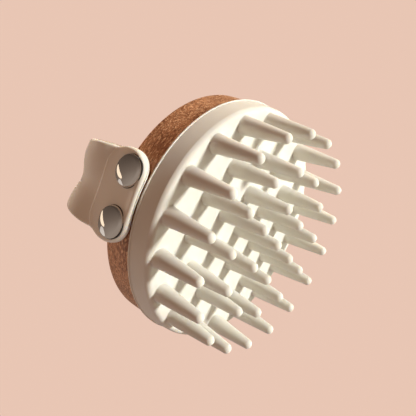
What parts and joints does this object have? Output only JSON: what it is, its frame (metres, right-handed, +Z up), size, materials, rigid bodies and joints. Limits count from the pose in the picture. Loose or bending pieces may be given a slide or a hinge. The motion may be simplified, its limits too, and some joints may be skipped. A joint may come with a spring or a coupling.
{
  "type": "scalp massager brush",
  "caption": "Palm-held round scalp massager: tapered silicone bristles on a shallow pad, a turned wooden back and a flexible hand strap held by domed metal caps.",
  "frame": {"origin": "centre of the footprint, on the plane through the bristle tips, where the brush stands", "axes": "+Z up, from the bristle tips to the strap; X along the hand strap, from one pair of caps to the other; Y across the strap"},
  "size_m": [0.0922, 0.085, 0.065],
  "materials": {
    "silicone": "matte moulded silicone with a soft sheen",
    "strap_silicone": "matte moulded silicone, smooth rounded edges",
    "hardwood": "oiled reddish-brown wood with fine open pores, satin",
    "plate_plastic": "moulded ABS",
    "washer_plastic": "dark moulded nylon",
    "screw_steel": "zinc-plated",
    "chrome": "polished, mirror-like"
  },
  "bodies": {
    "brush": {"bristle_pad": "silicone", "bristle_centre": "silicone", "bristles_inner_ring": "silicone", "bristles_middle_ring": "silicone", "bristles_outer_ring": "silicone", "retainer_plate": "plate_plastic", "plate_screws": "screw_steel", "wood_body": "hardwood", "strap_end_right": "strap_silicone", "strap_end_left": "strap_silicone", "strap_flank_right": "strap_silicone", "strap_flank_left": "strap_silicone", "cap_washers_right": "washer_plastic", "cap_washers_left": "washer_plastic", "strap_screws_right": "screw_steel", "strap_screws_left": "screw_steel", "dome_caps_right": "chrome", "dome_caps_left": "chrome"},
    "strap_top": {"strap_crown": "strap_silicone"}
  },
  "joints": [
    {"name": "strap_flex", "type": "slide", "parent": "brush", "child": "strap_top", "axis": [0, 0, 1], "range_m": [-0.008, 0.006], "stiffness_N_per_m": 400, "deforming": ["strap_flank_right", "strap_flank_left"]}
  ]
}
